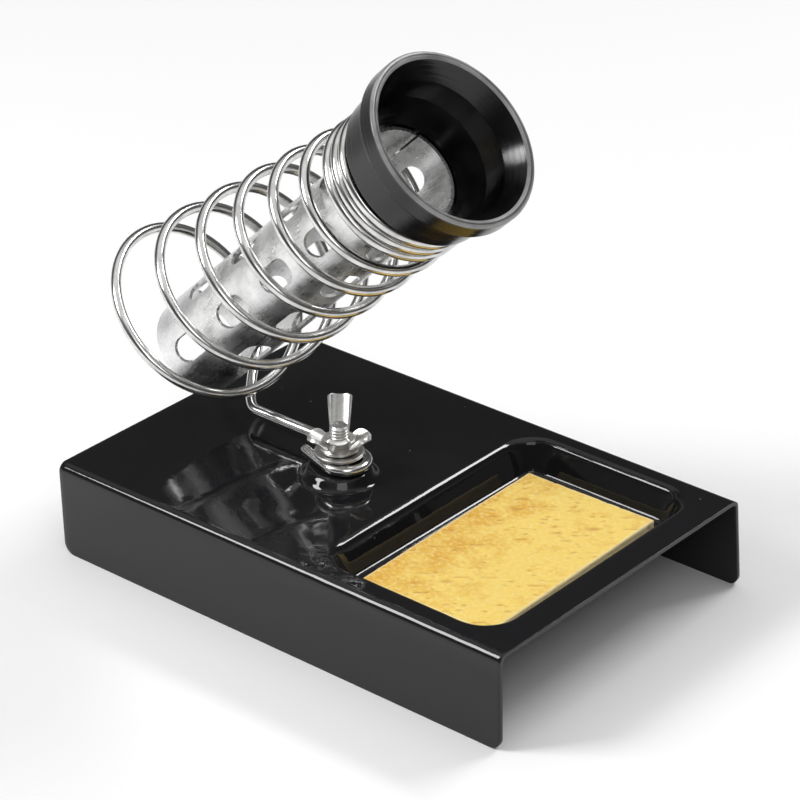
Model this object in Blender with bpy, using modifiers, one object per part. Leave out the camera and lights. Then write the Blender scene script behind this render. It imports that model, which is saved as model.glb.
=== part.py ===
"""Bench stand for a soldering iron.

A folded sheet-steel base carries a sponge in a pressed tray and a wire holder
clamped to a raised boss. The holder is one length of wire: an eye round the
clamp bolt, an arm, a rising bend and a tapering coil that ends close-wound on
the neck of a turned collar. A perforated sheet tube hangs from the collar
inside the coil and takes the iron's hot tip.

Metres, +Z up. The origin is under the middle of the stand, on the bench.
The base runs along X, the holder leans towards +X.
"""

import math

import bmesh
import bpy
from mathutils import Matrix, Vector

# Base: a channel folded from one sheet, open at both ends
BASE_LEFT = -0.0604
BASE_FRONT = -0.0466
BASE_LENGTH = 0.1342
BASE_WIDTH = 0.0900
BASE_HEIGHT = 0.0247
SHEET = 0.0010
BEND_RADIUS = 0.0022
FRONT_TUCK = 0.0007
BACK_SPLAY = 0.0029
FLANGE_CORNER = 0.0030

# Sponge tray pressed into the base
TRAY_X = (BASE_LEFT + 0.0763, BASE_LEFT + 0.1262)
TRAY_Y = (BASE_FRONT + 0.0071, BASE_FRONT + 0.0842)
TRAY_DEPTH = 0.0080
TRAY_INSET = 0.0032
TRAY_CORNER = 0.0085
TRAY_FLOOR_CORNER = 0.0053
SPONGE_SIZE = (0.0370, 0.0641, 0.0032)
SPONGE_MIDDLE = (BASE_LEFT + 0.1026, BASE_FRONT + 0.0439)
SPONGE_TURN = math.radians(1.1)

# Boss and clamp
BOLT_X = BASE_LEFT + 0.0550
BOLT_Y = BASE_FRONT + 0.0390
BOSS_HEIGHT = 0.0028
BOSS_FOOT_RADIUS = 0.0095
BOSS_TOP_RADIUS = 0.0074
BOLT_RADIUS = 0.00235
BOLT_TOP = 0.0382
BOLT_HEAD_RADIUS = 0.0046
BOLT_HEAD_HEIGHT = 0.0026
HOLE_RADIUS = 0.0027
WASHER_RADIUS = 0.0060
WASHER_THICKNESS = 0.0008
GAP = 0.0003

# Wing nut, pressed from sheet: a hub, two tall wings and two low ears
HUB_RADIUS = 0.0056
HUB_TOP_RADIUS = 0.0046
HUB_HEIGHT = 0.0032
WING_HEADING = math.radians(-50.1)
WING_REACH = (0.0038, 0.0128)
WING_RISE = 0.0072
WING_WIDTH = (0.0048, 0.0062)
EAR_REACH = (0.0038, 0.0061)
EAR_RISE = 0.0027
EAR_WIDTH = (0.0058, 0.0064)
WING_SHEET = 0.0012

# Holder axis, from the middle of the collar's mouth
HOLDER_Y = BASE_FRONT + 0.0445
MOUTH = Vector((BASE_LEFT + 0.0847, HOLDER_Y, 0.1176))
HOLDER_TILT = math.radians(44.0)

# Wire and coil
WIRE_RADIUS = 0.0013
EYE_RADIUS = 0.0053
EYE_CENTRE = (BASE_LEFT + 0.0567, BASE_FRONT + 0.0391)
EYE_WRAP = math.radians(198.0)
TAIL_LENGTH = 0.0100
ARM_END = BASE_LEFT + 0.0235
COIL_START = -0.42
COIL_OPEN_TURNS = 6.0
COIL_END = 8.45
COIL_RADIUS = 0.0236
COIL_TAPER = 0.00158
COIL_TAPER_EASE = 0.000100
COIL_PITCH = 0.0178
COIL_PITCH_DROP = 0.00142
CLOSE_PITCH = 0.0031
COIL_LINE = math.radians(39.4)
COIL_FACE = math.radians(41.0)
COIL_PHASE = math.radians(137.0)
CLOSE_START = 0.0241
STEPS_PER_TURN = 24

# Guard tube: rolled perforated sheet with a butt seam
TUBE_RADIUS = 0.0123
TUBE_SHEET = 0.0008
TUBE_NEAR = 0.0181
TUBE_LENGTH = 0.0922
TUBE_SEAM = math.radians(129.0)
TUBE_SEAM_GAP = 0.0006
SLOT_LENGTH = 0.0115
SLOT_WIDTH = 0.0066
SLOT_ROWS = 6
SLOTS_PER_ROW = 4
SLOT_FIRST = 0.0108
SLOT_PITCH = 0.0195
SLOT_TURN = math.radians(-87.0)

# Collar: radius and depth behind its mouth, along its outside and its inside
COLLAR_OUTSIDE = (
    (0.0214, 0.0000), (0.0219, 0.0006), (0.0219, 0.0046), (0.0214, 0.0053),
    (0.0199, 0.0055), (0.0194, 0.0142), (0.0188, 0.0148), (0.0156, 0.0149),
    (0.0156, 0.0268),
)
COLLAR_INSIDE = (
    (0.0128, 0.0268), (0.0128, 0.0176), (0.0138, 0.0160), (0.0163, 0.0112),
    (0.0171, 0.0052), (0.0199, 0.0004), (0.0204, 0.0000),
)


def clear_scene():
    for obj in list(bpy.data.objects):
        bpy.data.objects.remove(obj, do_unlink=True)


def new_collection(name):
    collection = bpy.data.collections.new(name)
    bpy.context.scene.collection.children.link(collection)
    return collection


def material(name, colour, roughness, metallic=0.0, coat=0.0):
    mat = bpy.data.materials.new(name)
    mat.use_nodes = True
    shader = mat.node_tree.nodes["Principled BSDF"]
    shader.inputs["Base Color"].default_value = (*colour, 1.0)
    shader.inputs["Roughness"].default_value = roughness
    shader.inputs["Metallic"].default_value = metallic
    shader.inputs["Coat Weight"].default_value = coat
    mat.diffuse_color = (*colour, 1.0)
    return mat


def add_object(name, data, collection, mat=None, matrix=None):
    obj = bpy.data.objects.new(name, data)
    collection.objects.link(obj)
    if mat:
        data.materials.append(mat)
    if matrix is not None:
        obj.matrix_world = matrix
    return obj


def add_cutter(name, data, cutters, matrix=None):
    obj = add_object(name, data, cutters, matrix=matrix)
    obj.hide_render = True
    obj.display_type = "WIRE"
    return obj


def mesh_of(name, bm):
    bmesh.ops.recalc_face_normals(bm, faces=bm.faces)
    mesh = bpy.data.meshes.new(name)
    bm.to_mesh(mesh)
    bm.free()
    return mesh


def smooth(obj, angle=35.0):
    obj.data.shade_smooth()
    obj.data.set_sharp_from_angle(angle=math.radians(angle))


def add_boolean(obj, other, operation):
    modifier = obj.modifiers.new(f"{operation} {other.name}", "BOOLEAN")
    modifier.operation = operation
    modifier.object = other
    modifier.solver = "EXACT"


def add_solidify(obj, thickness, offset):
    modifier = obj.modifiers.new("Sheet", "SOLIDIFY")
    modifier.thickness = thickness
    modifier.offset = offset
    modifier.use_even_offset = True


def profile_mesh(name, profile, closed=True):
    """A line through (radius, height) points, ready to be turned about Z."""
    bm = bmesh.new()
    points = [bm.verts.new((radius, 0.0, height)) for radius, height in profile]
    ends = points[1:] + points[:1] if closed else points[1:]
    for pair in zip(points, ends):
        bm.edges.new(pair)
    mesh = bpy.data.meshes.new(name)
    bm.to_mesh(mesh)
    bm.free()
    return mesh


def add_turning(obj, steps, on_axis=False):
    """Turns the profile; one that ends on the axis has those ends welded."""
    screw = obj.modifiers.new("Turned", "SCREW")
    screw.axis = "Z"
    screw.steps = screw.render_steps = steps
    screw.use_merge_vertices = on_axis
    screw.merge_threshold = 0.00005
    screw.use_smooth_shade = True


def cone_mesh(name, foot, top, z_foot, z_top, segments=32):
    bm = bmesh.new()
    bmesh.ops.create_cone(
        bm, cap_ends=True, segments=segments, radius1=foot, radius2=top,
        depth=z_top - z_foot,
        matrix=Matrix.Translation((0.0, 0.0, (z_foot + z_top) / 2)),
    )
    return mesh_of(name, bm)


def fillet(before, corner, after, radius, segments):
    """Points of an arc of this radius that rounds a corner between two straight lines."""
    to_before = (before - corner).normalized()
    to_after = (after - corner).normalized()
    half = to_before.angle(to_after) / 2
    centre = corner + (to_before + to_after).normalized() * radius / math.sin(half)
    reach = radius / math.tan(half)
    first = corner + to_before * reach - centre
    last = corner + to_after * reach - centre
    return [
        centre + first.lerp(last, step / segments).normalized() * radius
        for step in range(segments + 1)
    ]


def base_profile():
    """The folded sheet's outer line, from the front flange's foot over to the back one's."""
    front, back = BASE_FRONT, BASE_FRONT + BASE_WIDTH
    corners = [
        Vector((front + FRONT_TUCK, 0.0)), Vector((front, BASE_HEIGHT)),
        Vector((back, BASE_HEIGHT)), Vector((back + BACK_SPLAY, 0.0)),
    ]
    bends = [
        fillet(corners[i - 1], corners[i], corners[i + 1], BEND_RADIUS, 5)
        for i in (1, 2)
    ]
    return [corners[0], *bends[0], *bends[1], corners[3]]


def round_rectangle(x_span, y_span, radius, z, segments=5):
    """Points round a rectangle with rounded corners, at one height."""
    points = []
    for quarter, (x, y, sx, sy) in enumerate((
        (x_span[1], y_span[1], -1, -1), (x_span[0], y_span[1], 1, -1),
        (x_span[0], y_span[0], 1, 1), (x_span[1], y_span[0], -1, 1),
    )):
        for step in range(segments + 1):
            a = math.pi / 2 * (quarter + step / segments)
            points.append(Vector((
                x + radius * (sx + math.cos(a)), y + radius * (sy + math.sin(a)), z)))
    return points


def tray_mesh(name, spread, z_top, z_floor):
    """A tub that narrows downwards at the tray wall's slope, lofted between its rims."""
    rims = []
    bm = bmesh.new()
    for z in (z_floor, z_top):
        up = (z - BASE_HEIGHT) / TRAY_DEPTH + 1.0
        inset = TRAY_INSET * (1.0 - up) - spread
        radius = TRAY_FLOOR_CORNER + (TRAY_CORNER - TRAY_FLOOR_CORNER) * up
        x_span = (TRAY_X[0] + inset, TRAY_X[1] - inset)
        y_span = (TRAY_Y[0] + inset, TRAY_Y[1] - inset)
        rims.append([bm.verts.new(p) for p in round_rectangle(x_span, y_span, radius, z)])
    floor, top = rims
    bm.faces.new(floor)
    bm.faces.new(top)
    for i in range(len(floor)):
        j = (i + 1) % len(floor)
        bm.faces.new((floor[i], floor[j], top[j], top[i]))
    return mesh_of(name, bm)


def flange_corner_cutter(cutters):
    """Four prisms that round the flanges' lower corners."""
    r = FLANGE_CORNER
    bm = bmesh.new()
    for x, inward in ((BASE_LEFT, 1.0), (BASE_LEFT + BASE_LENGTH, -1.0)):
        for y in (BASE_FRONT, BASE_FRONT + BASE_WIDTH):
            arc = [math.radians(90.0 * step / 6) for step in range(7)]
            outline = [(x - inward * 0.002, -0.002), (x + inward * r, -0.002)]
            outline += [
                (x + inward * r * (1 - math.sin(a)), r * (1 - math.cos(a))) for a in arc
            ]
            outline += [(x - inward * 0.002, r)]
            face = bm.faces.new([bm.verts.new((px, y - 0.006, pz)) for px, pz in outline])
            grown = bmesh.ops.extrude_face_region(bm, geom=[face])
            moved = [item for item in grown["geom"] if isinstance(item, bmesh.types.BMVert)]
            bmesh.ops.translate(bm, verts=moved, vec=(0.0, 0.012, 0.0))
    return add_cutter("flange_corners", mesh_of("flange_corners", bm), cutters)


def build_base(parts, cutters, mat):
    bm = bmesh.new()
    line = [bm.verts.new((BASE_LEFT, p.x, p.y)) for p in base_profile()]
    edges = [bm.edges.new(pair) for pair in zip(line, line[1:])]
    grown = bmesh.ops.extrude_edge_only(bm, edges=edges)
    moved = [item for item in grown["geom"] if isinstance(item, bmesh.types.BMVert)]
    bmesh.ops.translate(bm, verts=moved, vec=(BASE_LENGTH, 0.0, 0.0))
    bmesh.ops.recalc_face_normals(bm, faces=bm.faces)
    top = max(bm.faces, key=lambda face: face.calc_center_median().z)
    if top.normal.z < 0:
        bmesh.ops.reverse_faces(bm, faces=bm.faces)
    mesh = bpy.data.meshes.new("base_plate")
    bm.to_mesh(mesh)
    bm.free()
    base = add_object("base_plate", mesh, parts, mat)
    add_solidify(base, SHEET, -1.0)

    floor = BASE_HEIGHT - TRAY_DEPTH
    tub = tray_mesh("tray_tub", 0.0005, BASE_HEIGHT - 0.4 * SHEET, floor - SHEET)
    hollow = tray_mesh("tray_hollow", 0.0, BASE_HEIGHT + 0.001, floor)
    at_bolt = Matrix.Translation((BOLT_X, BOLT_Y, 0.0))
    crown = BASE_HEIGHT + BOSS_HEIGHT
    boss = cone_mesh(
        "boss", BOSS_FOOT_RADIUS, BOSS_TOP_RADIUS, BASE_HEIGHT - 0.4 * SHEET, crown)
    underside = cone_mesh(
        "boss_underside", BOSS_FOOT_RADIUS - 0.0004, BOSS_TOP_RADIUS - 0.0008,
        BASE_HEIGHT - SHEET - 0.0006, crown - SHEET)
    hole = cone_mesh("bolt_hole", HOLE_RADIUS, HOLE_RADIUS, 0.010, 0.040, 24)

    add_boolean(base, add_cutter("tray_tub", tub, cutters), "UNION")
    add_boolean(base, add_cutter("tray_hollow", hollow, cutters), "DIFFERENCE")
    add_boolean(base, add_cutter("boss", boss, cutters, at_bolt), "UNION")
    add_boolean(base, add_cutter("boss_underside", underside, cutters, at_bolt), "DIFFERENCE")
    add_boolean(base, add_cutter("bolt_hole", hole, cutters, at_bolt), "DIFFERENCE")
    add_boolean(base, flange_corner_cutter(cutters), "DIFFERENCE")
    smooth(base)
    return base


def build_sponge(parts, mat):
    size = Vector(SPONGE_SIZE)
    bm = bmesh.new()
    bmesh.ops.create_cube(bm, size=1.0, matrix=Matrix.Diagonal((*size, 1.0)))
    place = Matrix.Translation((*SPONGE_MIDDLE, BASE_HEIGHT - TRAY_DEPTH + GAP + size.z / 2))
    place = place @ Matrix.Rotation(SPONGE_TURN, 4, "Z")
    sponge = add_object("sponge", mesh_of("sponge", bm), parts, mat, place)
    bevel = sponge.modifiers.new("Soft edges", "BEVEL")
    bevel.width = 0.0006
    bevel.segments = 2
    bevel.limit_method = "ANGLE"
    return sponge


def holder_matrix(depth=0.0):
    """A frame on the holder's axis, +Z out of the collar's mouth, this far behind it."""
    turn = Matrix.Rotation(math.pi / 2 - HOLDER_TILT, 4, "Y")
    return Matrix.Translation(MOUTH) @ turn @ Matrix.Translation((0.0, 0.0, -depth))


def in_plane(angle):
    return Vector((math.cos(angle), 0.0, math.sin(angle)))


def ease(value, low, high):
    t = min(max((value - low) / (high - low), 0.0), 1.0)
    return t * t * (3.0 - 2.0 * t)


def coil_points(first, last):
    """Points along the coil. A turn number counts from the first turn's near side."""
    def pitch(turn):
        close = ease(turn, COIL_OPEN_TURNS - 0.35, COIL_OPEN_TURNS + 0.15)
        return (COIL_PITCH - COIL_PITCH_DROP * turn) * (1 - close) + CLOSE_PITCH * close

    def line(turn):
        return COIL_LINE + (HOLDER_TILT - COIL_LINE) * ease(turn, 5.6, 6.2)

    def centres():
        """The turns' middles, stepped from the close-wound end's place on the neck."""
        step = 1.0 / (STEPS_PER_TURN * 8)
        middle = MOUTH - in_plane(HOLDER_TILT) * CLOSE_START
        low, high = COIL_OPEN_TURNS, COIL_OPEN_TURNS
        below, above = [(low, middle.copy())], []
        point = middle.copy()
        while low > first - step:
            point = point - in_plane(line(low)) * pitch(low) * step
            low -= step
            below.append((low, point.copy()))
        point = middle.copy()
        while high < last + step:
            point = point + in_plane(line(high)) * pitch(high) * step
            high += step
            above.append((high, point.copy()))
        return below[::-1] + above

    track = centres()
    points = []
    count = round((last - first) * STEPS_PER_TURN)
    for index in range(count + 1):
        turn = first + (last - first) * index / count
        near = min(int((turn - track[0][0]) / (track[1][0] - track[0][0])), len(track) - 2)
        share = (turn - track[near][0]) / (track[near + 1][0] - track[near][0])
        middle = track[near][1].lerp(track[near + 1][1], share)
        face = COIL_FACE + (HOLDER_TILT - COIL_FACE) * ease(turn, 5.0, 6.0)
        side = Vector((0.0, 1.0, 0.0))
        rise = in_plane(face + math.pi / 2)
        eased = min(turn, 6.5)
        radius = COIL_RADIUS - COIL_TAPER * eased + COIL_TAPER_EASE * eased * eased
        angle = COIL_PHASE + 2 * math.pi * turn
        points.append(middle + (side * math.cos(angle) + rise * math.sin(angle)) * radius)
    return points


def eye_points(level):
    """The tail, and the eye round the bolt as far as the straight arm."""
    centre = Vector((*EYE_CENTRE, level))
    heading = math.pi / 2 - EYE_WRAP
    steps = 18
    arc = [
        centre + EYE_RADIUS * Vector((math.cos(a), math.sin(a), 0.0))
        for a in (heading + EYE_WRAP * step / steps for step in range(steps + 1))
    ]
    back = Vector((math.sin(heading), -math.cos(heading), 0.0))
    tail = [arc[0] + back * TAIL_LENGTH * share for share in (1.0, 0.66, 0.33)]
    return tail + arc


def blend(start, start_run, end, end_run, steps):
    """Points of a smooth curve that leaves along start_run and arrives along end_run."""
    points = []
    for step in range(1, steps):
        t = step / steps
        points.append(
            start * (2 * t**3 - 3 * t**2 + 1) + start_run * (t**3 - 2 * t**2 + t)
            + end * (3 * t**2 - 2 * t**3) + end_run * (t**3 - t**2)
        )
    return points


def wire_points():
    level = BASE_HEIGHT + BOSS_HEIGHT + GAP + WIRE_RADIUS
    eye = eye_points(level)
    arm_y = EYE_CENTRE[1] + EYE_RADIUS
    run = EYE_CENTRE[0] - ARM_END
    arm = [Vector((EYE_CENTRE[0] - run * share / 6, arm_y, level)) for share in range(1, 7)]
    coil = coil_points(COIL_START, COIL_END)
    away = Vector((-1.0, 0.0, 0.0)) * 0.016
    into = (coil[1] - coil[0]).normalized() * 0.018
    return eye + arm + blend(arm[-1], away, coil[0], into, 14) + coil


def build_wire(parts, mat):
    points = wire_points()
    curve = bpy.data.curves.new("holder_wire", "CURVE")
    curve.dimensions = "3D"
    curve.bevel_depth = WIRE_RADIUS
    curve.bevel_resolution = 2
    curve.use_fill_caps = True
    spline = curve.splines.new("POLY")
    spline.points.add(len(points) - 1)
    origin = Vector((BOLT_X, BOLT_Y, 0.0))
    for slot, point in zip(spline.points, points):
        slot.co = (*(point - origin), 1.0)
        slot.radius = 1.0
    spline.use_smooth = True
    return add_object("holder_wire", curve, parts, mat, Matrix.Translation(origin))


def build_tube(parts, cutters, mat):
    """Its frame is at the far end, +Z towards the collar."""
    frame = holder_matrix(TUBE_NEAR + TUBE_LENGTH)
    half_gap = TUBE_SEAM_GAP / 2 / TUBE_RADIUS
    segments = 36
    bm = bmesh.new()
    arc = []
    for step in range(segments + 1):
        angle = TUBE_SEAM + half_gap + (2 * math.pi - 2 * half_gap) * step / segments
        arc.append(bm.verts.new((
            TUBE_RADIUS * math.cos(angle), TUBE_RADIUS * math.sin(angle), 0.0)))
    edges = [bm.edges.new(pair) for pair in zip(arc, arc[1:])]
    grown = bmesh.ops.extrude_edge_only(bm, edges=edges)
    moved = [item for item in grown["geom"] if isinstance(item, bmesh.types.BMVert)]
    bmesh.ops.translate(bm, verts=moved, vec=(0.0, 0.0, TUBE_LENGTH))
    for face in bm.faces:
        face.normal_update()
    side = bm.faces[:][0]
    if side.normal.dot(side.calc_center_median() * Vector((1, 1, 0))) < 0:
        bmesh.ops.reverse_faces(bm, faces=bm.faces)
    mesh = bpy.data.meshes.new("guard_tube")
    bm.to_mesh(mesh)
    bm.free()
    tube = add_object("guard_tube", mesh, parts, mat, frame)
    add_solidify(tube, TUBE_SHEET, -1.0)

    bm = bmesh.new()
    sides, half_run = 16, (SLOT_LENGTH - SLOT_WIDTH) / 2
    for row in range(SLOT_ROWS):
        angle = SLOT_TURN + 2 * math.pi * row / SLOT_ROWS
        for slot in range(SLOTS_PER_ROW):
            z = SLOT_FIRST + SLOT_PITCH * (slot + 0.5 * (row % 2))
            place = (
                Matrix.Translation((0.0, 0.0, z)) @ Matrix.Rotation(angle, 4, "Z")
                @ Matrix.Translation((TUBE_RADIUS, 0.0, 0.0))
                @ Matrix.Rotation(math.pi / 2, 4, "Y")
                @ Matrix.Rotation(math.pi / sides, 4, "Z")
            )
            made = bmesh.ops.create_cone(
                bm, cap_ends=True, segments=sides, radius1=SLOT_WIDTH / 2,
                radius2=SLOT_WIDTH / 2, depth=0.006, matrix=place)
            for vert in made["verts"]:
                vert.co.z += math.copysign(half_run, vert.co.z - z)
    slots = add_cutter("tube_slots", mesh_of("tube_slots", bm), cutters, frame)
    add_boolean(tube, slots, "DIFFERENCE")
    smooth(tube)
    return tube


def build_collar(parts, mat):
    profile = [(r, -depth) for r, depth in COLLAR_OUTSIDE + COLLAR_INSIDE]
    collar = add_object(
        "collar", profile_mesh("collar", profile), parts, mat, holder_matrix())
    add_turning(collar, 48)
    return collar


def petal(bm, heading, reach, rise, widths, z):
    """A round-ended tab that leans outwards from the hub: a flat outline given thickness."""
    foot = Vector((reach[0], 0.0, z))
    lean = Vector((reach[1] - reach[0], 0.0, rise))
    length = lean.length
    lean.normalize()
    across = Vector((0.0, 1.0, 0.0))
    out = across.cross(lean)
    low, high = widths[0] / 2, widths[1] / 2
    corner = min(high * 0.6, 0.0016)
    outline = [(-low, 0.0), (low, 0.0)]
    for middle, start in ((high - corner, 0.0), (corner - high, 90.0)):
        for step in range(4):
            a = math.radians(start + 30.0 * step)
            outline.append((
                middle + corner * math.cos(a), length - corner + corner * math.sin(a)))
    turn = Matrix.Rotation(heading, 3, "Z")
    verts = [
        bm.verts.new(turn @ (foot + across * a + lean * b - out * WING_SHEET / 2))
        for a, b in outline
    ]
    face = bm.faces.new(verts)
    grown = bmesh.ops.extrude_face_region(bm, geom=[face])
    moved = [item for item in grown["geom"] if isinstance(item, bmesh.types.BMVert)]
    bmesh.ops.translate(bm, verts=moved, vec=turn @ (out * WING_SHEET))


def build_nut(parts, cutters, mat, z):
    frame = Matrix.Translation((BOLT_X, BOLT_Y, z))
    hub = cone_mesh("wing_nut", HUB_RADIUS, HUB_TOP_RADIUS, 0.0, HUB_HEIGHT)
    nut = add_object("wing_nut", hub, parts, mat, frame)
    for name, offset, reach, rise, widths in (
        ("wing_near", 0.0, WING_REACH, WING_RISE, WING_WIDTH),
        ("wing_far", math.pi, WING_REACH, WING_RISE, WING_WIDTH),
        ("ear_right", math.pi / 2, EAR_REACH, EAR_RISE, EAR_WIDTH),
        ("ear_left", -math.pi / 2, EAR_REACH, EAR_RISE, EAR_WIDTH),
    ):
        bm = bmesh.new()
        petal(bm, WING_HEADING + offset, reach, rise, widths, 0.0007)
        tab = add_cutter(name, mesh_of(name, bm), cutters, frame)
        add_boolean(nut, tab, "UNION")
    bore = cone_mesh("nut_bore", HOLE_RADIUS, HOLE_RADIUS, -0.002, 0.020, 24)
    add_boolean(nut, add_cutter("nut_bore", bore, cutters, frame), "DIFFERENCE")
    return nut


def build_washer(parts, mat, z):
    profile = [
        (WASHER_RADIUS, WASHER_THICKNESS), (WASHER_RADIUS, 0.0),
        (HOLE_RADIUS, 0.0), (HOLE_RADIUS, WASHER_THICKNESS),
    ]
    washer = add_object(
        "flat_washer", profile_mesh("flat_washer", profile), parts, mat,
        Matrix.Translation((BOLT_X, BOLT_Y, z)))
    add_turning(washer, 32)
    return washer


def build_bolt(parts, mat):
    """A pan-head screw from under the boss. Its frame is where the head meets the sheet."""
    seat = BASE_HEIGHT + BOSS_HEIGHT - SHEET - GAP
    tip = BOLT_TOP - seat
    profile = [
        (0.0, tip), (BOLT_RADIUS - 0.0005, tip), (BOLT_RADIUS, tip - 0.0005),
        (BOLT_RADIUS, 0.0), (BOLT_HEAD_RADIUS, 0.0),
        (BOLT_HEAD_RADIUS, 0.0009 - BOLT_HEAD_HEIGHT),
        (BOLT_HEAD_RADIUS - 0.0012, -BOLT_HEAD_HEIGHT), (0.0, -BOLT_HEAD_HEIGHT),
    ]
    bolt = add_object(
        "clamp_bolt", profile_mesh("clamp_bolt", profile, closed=False), parts, mat,
        Matrix.Translation((BOLT_X, BOLT_Y, seat)))
    add_turning(bolt, 24, on_axis=True)
    return bolt


def carry(pivot_name, place, carried, parts):
    """An empty on a joint's axis that carries these objects where they stand."""
    pivot = add_object(pivot_name, None, parts, matrix=place)
    for obj in carried:
        obj.parent = pivot
        obj.matrix_parent_inverse = place.inverted()


def main():
    clear_scene()
    parts = new_collection("soldering_iron_stand")
    cutters = new_collection("cutters")
    cutters.hide_render = True

    paint = material("gloss_black_paint", (0.012, 0.012, 0.013), 0.12, coat=0.6)
    cellulose = material("cellulose_sponge", (0.86, 0.62, 0.20), 0.95)
    plated = material("bright_plated_wire", (0.72, 0.71, 0.69), 0.16, 1.0)
    sheet = material("zinc_plated_sheet", (0.62, 0.62, 0.62), 0.30, 1.0)
    moulded = material("black_moulding", (0.018, 0.018, 0.019), 0.28)
    steel = material("zinc_plated_hardware", (0.66, 0.65, 0.62), 0.25, 1.0)

    build_base(parts, cutters, paint)
    build_sponge(parts, cellulose)
    holder = [
        build_wire(parts, plated), build_tube(parts, cutters, sheet),
        build_collar(parts, moulded),
    ]
    carry("holder_pivot", Matrix.Translation((BOLT_X, BOLT_Y, 0.0)), holder, parts)
    build_bolt(parts, steel)
    clamp = BASE_HEIGHT + BOSS_HEIGHT + GAP + 2 * WIRE_RADIUS + GAP
    build_washer(parts, steel, clamp)
    build_nut(parts, cutters, steel, clamp + WASHER_THICKNESS + GAP)


main()
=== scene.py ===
"""Bench stand for a soldering iron: its visible pieces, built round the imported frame.

Metres, +Z up, in the frame's own coordinates. The base is one pressed and folded
sheet, the holder is one swept wire round a perforated tube, and the collar,
washer, bolt and wing nut are turned or pressed parts.
"""

import math

import bmesh
import bpy
import numpy as np
from mathutils import Matrix, Vector, noise


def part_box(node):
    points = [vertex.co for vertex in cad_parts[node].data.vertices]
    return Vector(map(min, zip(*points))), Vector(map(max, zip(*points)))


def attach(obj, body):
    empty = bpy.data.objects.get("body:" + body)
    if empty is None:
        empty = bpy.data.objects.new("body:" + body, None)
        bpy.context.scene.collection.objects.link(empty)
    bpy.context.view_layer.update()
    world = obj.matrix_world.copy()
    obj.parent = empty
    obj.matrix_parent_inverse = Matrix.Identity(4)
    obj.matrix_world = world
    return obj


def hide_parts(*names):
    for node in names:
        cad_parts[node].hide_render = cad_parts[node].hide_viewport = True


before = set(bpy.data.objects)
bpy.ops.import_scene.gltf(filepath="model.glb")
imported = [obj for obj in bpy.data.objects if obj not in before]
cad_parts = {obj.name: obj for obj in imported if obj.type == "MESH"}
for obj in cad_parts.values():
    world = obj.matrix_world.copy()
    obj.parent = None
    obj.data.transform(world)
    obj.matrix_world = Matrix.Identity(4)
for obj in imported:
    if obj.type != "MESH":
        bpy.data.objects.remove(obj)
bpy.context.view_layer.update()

BASE_LOW, BASE_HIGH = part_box("base_plate")
BOLT_LOW, BOLT_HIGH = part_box("clamp_bolt")
WASHER_LOW, WASHER_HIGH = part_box("flat_washer")
NUT_LOW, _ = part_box("wing_nut")
SPONGE_LOW, SPONGE_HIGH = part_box("sponge")

# Base
BOSS_HEIGHT = 0.0028
BACK_SPLAY = 0.0029
FRONT_TUCK = 0.0007
LEFT, RIGHT = BASE_LOW.x, BASE_HIGH.x
FRONT, BACK = BASE_LOW.y, BASE_HIGH.y - BACK_SPLAY
TOP = BASE_HIGH.z - BOSS_HEIGHT
SHEET = 0.0010
BEND_RADIUS = 0.0022
FLANGE_CORNER = 0.0030
TRAY_X = (LEFT + 0.0763, LEFT + 0.1262)
TRAY_Y = (FRONT + 0.0071, FRONT + 0.0842)
TRAY_DEPTH, TRAY_INSET, TRAY_CORNER = 0.0080, 0.0032, 0.0085
BOLT = Vector(((BOLT_LOW.x + BOLT_HIGH.x) / 2, (BOLT_LOW.y + BOLT_HIGH.y) / 2, 0.0))
RIM_FILLET, FLOOR_FILLET = 0.0022, 0.0014
BOSS_FOOT, BOSS_TOP = 0.0095, 0.0074
BOSS_FOOT_FILLET, BOSS_TOP_FILLET = 0.0016, 0.0011
BOLT_HOLE = 0.0027
SHEET_BURR = 0.00018
CLEARANCE = 0.0003  # between two parts that touch
# Grid of the flat sheet: its spacing on the boss and the tray walls, and how far each reaches
BOSS_CELL, BOSS_ZONE = 0.00042, 0.0112
WALL_CELL, WALL_OUT, WALL_IN = 0.00024, 0.0012, 0.0050
# How far the sheet strays from flat: slack all over, strain from the press and tight ripples
SLACK, STRAIN, STRIP_RIPPLE, CORNER_RIPPLE = 0.00010, 0.00024, 0.00015, 0.00028

# Holder
MOUTH = Vector((LEFT + 0.0847, FRONT + 0.0445, 0.1176))
HOLDER_TILT = math.radians(44.0)
WIRE_RADIUS = 0.0013
EYE_RADIUS = 0.0053
EYE_CENTRE = (LEFT + 0.0567, FRONT + 0.0391)
EYE_WRAP = math.radians(198.0)
TAIL_LENGTH = 0.0100
ARM_END = LEFT + 0.0235
COIL_START, COIL_OPEN_TURNS, COIL_END = -0.42, 6.0, 8.45
COIL_RADIUS, COIL_TAPER, COIL_TAPER_EASE = 0.0236, 0.00158, 0.000100
COIL_PITCH, COIL_PITCH_DROP, CLOSE_PITCH = 0.0178, 0.00142, 0.0031
COIL_LINE, COIL_FACE, COIL_PHASE = (math.radians(a) for a in (39.4, 41.0, 137.0))
CLOSE_START = 0.0241
TUBE_RADIUS, TUBE_SHEET, TUBE_NEAR, TUBE_LENGTH = 0.0123, 0.0008, 0.0181, 0.0922
TUBE_SEAM, TUBE_SEAM_GAP = math.radians(129.0), 0.0006
SLOT_LENGTH, SLOT_WIDTH, SLOT_ROWS, SLOTS_PER_ROW = 0.0115, 0.0066, 6, 4
SLOT_FIRST, SLOT_PITCH, SLOT_TURN = 0.0108, 0.0195, math.radians(-87.0)

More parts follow.
